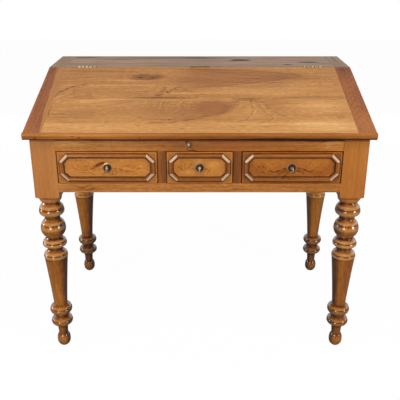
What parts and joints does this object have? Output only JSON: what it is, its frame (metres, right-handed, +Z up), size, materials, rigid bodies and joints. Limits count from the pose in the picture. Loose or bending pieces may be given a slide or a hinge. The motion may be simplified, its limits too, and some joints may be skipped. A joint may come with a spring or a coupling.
{
  "type": "slant-front desk",
  "caption": "Walnut writing desk on turned legs with a sloped lid that lifts over a compartment, a flat shelf behind it and locking drawers with moulded fronts.",
  "frame": {"origin": "on the floor, under the middle of the desk's box", "axes": "+X along the front to the right, +Y from front to back, +Z up"},
  "size_m": [1.03, 0.638, 0.8808],
  "materials": {
    "lid_walnut": "waxed",
    "case_walnut": "waxed",
    "leg_walnut": "waxed",
    "drawer_burl": "waxed burl veneer",
    "drawer_moulding": "waxed",
    "inner_wood": "bare",
    "brass": "worn",
    "key_metal": "polished by use",
    "lock_steel": "dark, old",
    "string": "twisted"
  },
  "bodies": {
    "case": {"leg_front_left": "leg_walnut", "leg_front_right": "leg_walnut", "leg_rear_left": "leg_walnut", "leg_rear_right": "leg_walnut", "front_top_rail": "case_walnut", "front_bottom_rail": "case_walnut", "drawer_divider_left": "case_walnut", "drawer_divider_right": "case_walnut", "side_panel_left": "case_walnut", "side_panel_right": "case_walnut", "back_panel": "case_walnut", "dust_board": "inner_wood", "drawer_runners": "inner_wood", "top_board": "lid_walnut", "top_end_left": "lid_walnut", "top_end_right": "lid_walnut", "hinge_top_leaves": "brass", "hinge_pins": "lock_steel", "hinge_top_screws": "lock_steel", "lid_lock_cap": "lock_steel", "lid_escutcheon": "brass", "lid_key_cord": "string"},
    "lid": {"lid_board_lower": "lid_walnut", "lid_board_upper": "lid_walnut", "lid_end_left": "lid_walnut", "lid_end_right": "lid_walnut", "lid_front_nosing": "lid_walnut", "hinge_lid_leaves": "brass", "hinge_lid_screws": "lock_steel", "lid_strike_plate": "lock_steel"},
    "lid_key": {"lid_key": "key_metal"},
    "lid_bolt": {"lid_lock_bolt": "lock_steel"},
    "drawer_left": {"drawer_left_front": "drawer_burl", "drawer_left_sides": "inner_wood", "drawer_left_back": "inner_wood", "drawer_left_bottom": "inner_wood", "drawer_left_moulding": "drawer_moulding", "drawer_left_escutcheon": "brass", "drawer_left_lock": "lock_steel"},
    "drawer_left_bolt": {"drawer_left_bolt": "lock_steel"},
    "drawer_left_key": {"drawer_left_key": "key_metal"},
    "drawer_middle": {"drawer_middle_front": "drawer_burl", "drawer_middle_sides": "inner_wood", "drawer_middle_back": "inner_wood", "drawer_middle_bottom": "inner_wood", "drawer_middle_moulding": "drawer_moulding", "drawer_middle_escutcheon": "brass", "drawer_middle_lock": "lock_steel"},
    "drawer_middle_bolt": {"drawer_middle_bolt": "lock_steel"},
    "drawer_middle_key": {"drawer_middle_key": "key_metal"},
    "drawer_right": {"drawer_right_front": "drawer_burl", "drawer_right_sides": "inner_wood", "drawer_right_back": "inner_wood", "drawer_right_bottom": "inner_wood", "drawer_right_moulding": "drawer_moulding", "drawer_right_escutcheon": "brass", "drawer_right_lock": "lock_steel", "drawer_right_key_cord": "string"},
    "drawer_right_bolt": {"drawer_right_bolt": "lock_steel"},
    "drawer_right_key": {"drawer_right_key": "key_metal"}
  },
  "joints": [
    {"name": "lid_swing", "type": "hinge", "parent": "case", "child": "lid", "pos_m": [0, 0.097, 0.8776], "axis": [-1, 0, 0], "range_deg": [0, 195]},
    {"name": "lid_key_turn", "type": "hinge", "parent": "case", "child": "lid_key", "pos_m": [-0.0315, -0.293, 0.723], "axis": [0, 1, 0], "range_deg": [0, 180], "deforming": ["lid_key_cord"]},
    {"name": "lid_bolt_throw", "type": "slide", "parent": "case", "child": "lid_bolt", "axis": [-1, 0, 0], "range_m": [0, 0.008]},
    {"name": "drawer_left_slide", "type": "slide", "parent": "case", "child": "drawer_left", "axis": [0, -1, 0], "range_m": [0, 0.35]},
    {"name": "drawer_left_key_turn", "type": "hinge", "parent": "drawer_left", "child": "drawer_left_key", "pos_m": [-0.27525, -0.293, 0.65055], "axis": [0, 1, 0], "range_deg": [0, 180]},
    {"name": "drawer_left_bolt_throw", "type": "slide", "parent": "drawer_left", "child": "drawer_left_bolt", "axis": [0, 0, 1], "range_m": [0, 0.008]},
    {"name": "drawer_middle_slide", "type": "slide", "parent": "case", "child": "drawer_middle", "axis": [0, -1, 0], "range_m": [0, 0.35]},
    {"name": "drawer_middle_key_turn", "type": "hinge", "parent": "drawer_middle", "child": "drawer_middle_key", "pos_m": [0, -0.293, 0.65055], "axis": [0, 1, 0], "range_deg": [0, 180]},
    {"name": "drawer_middle_bolt_throw", "type": "slide", "parent": "drawer_middle", "child": "drawer_middle_bolt", "axis": [0, 0, 1], "range_m": [0, 0.008]},
    {"name": "drawer_right_slide", "type": "slide", "parent": "case", "child": "drawer_right", "axis": [0, -1, 0], "range_m": [0, 0.35]},
    {"name": "drawer_right_key_turn", "type": "hinge", "parent": "drawer_right", "child": "drawer_right_key", "pos_m": [0.27525, -0.293, 0.65055], "axis": [0, 1, 0], "range_deg": [0, 180], "deforming": ["drawer_right_key_cord"]},
    {"name": "drawer_right_bolt_throw", "type": "slide", "parent": "drawer_right", "child": "drawer_right_bolt", "axis": [0, 0, 1], "range_m": [0, 0.008]}
  ],
  "couplings": [
    {"joint": "lid_key_turn", "follows": "lid_bolt_throw", "rad_per_m": 392.69},
    {"joint": "drawer_left_key_turn", "follows": "drawer_left_bolt_throw", "rad_per_m": 392.69},
    {"joint": "drawer_middle_key_turn", "follows": "drawer_middle_bolt_throw", "rad_per_m": 392.69},
    {"joint": "drawer_right_key_turn", "follows": "drawer_right_bolt_throw", "rad_per_m": 392.69}
  ]
}
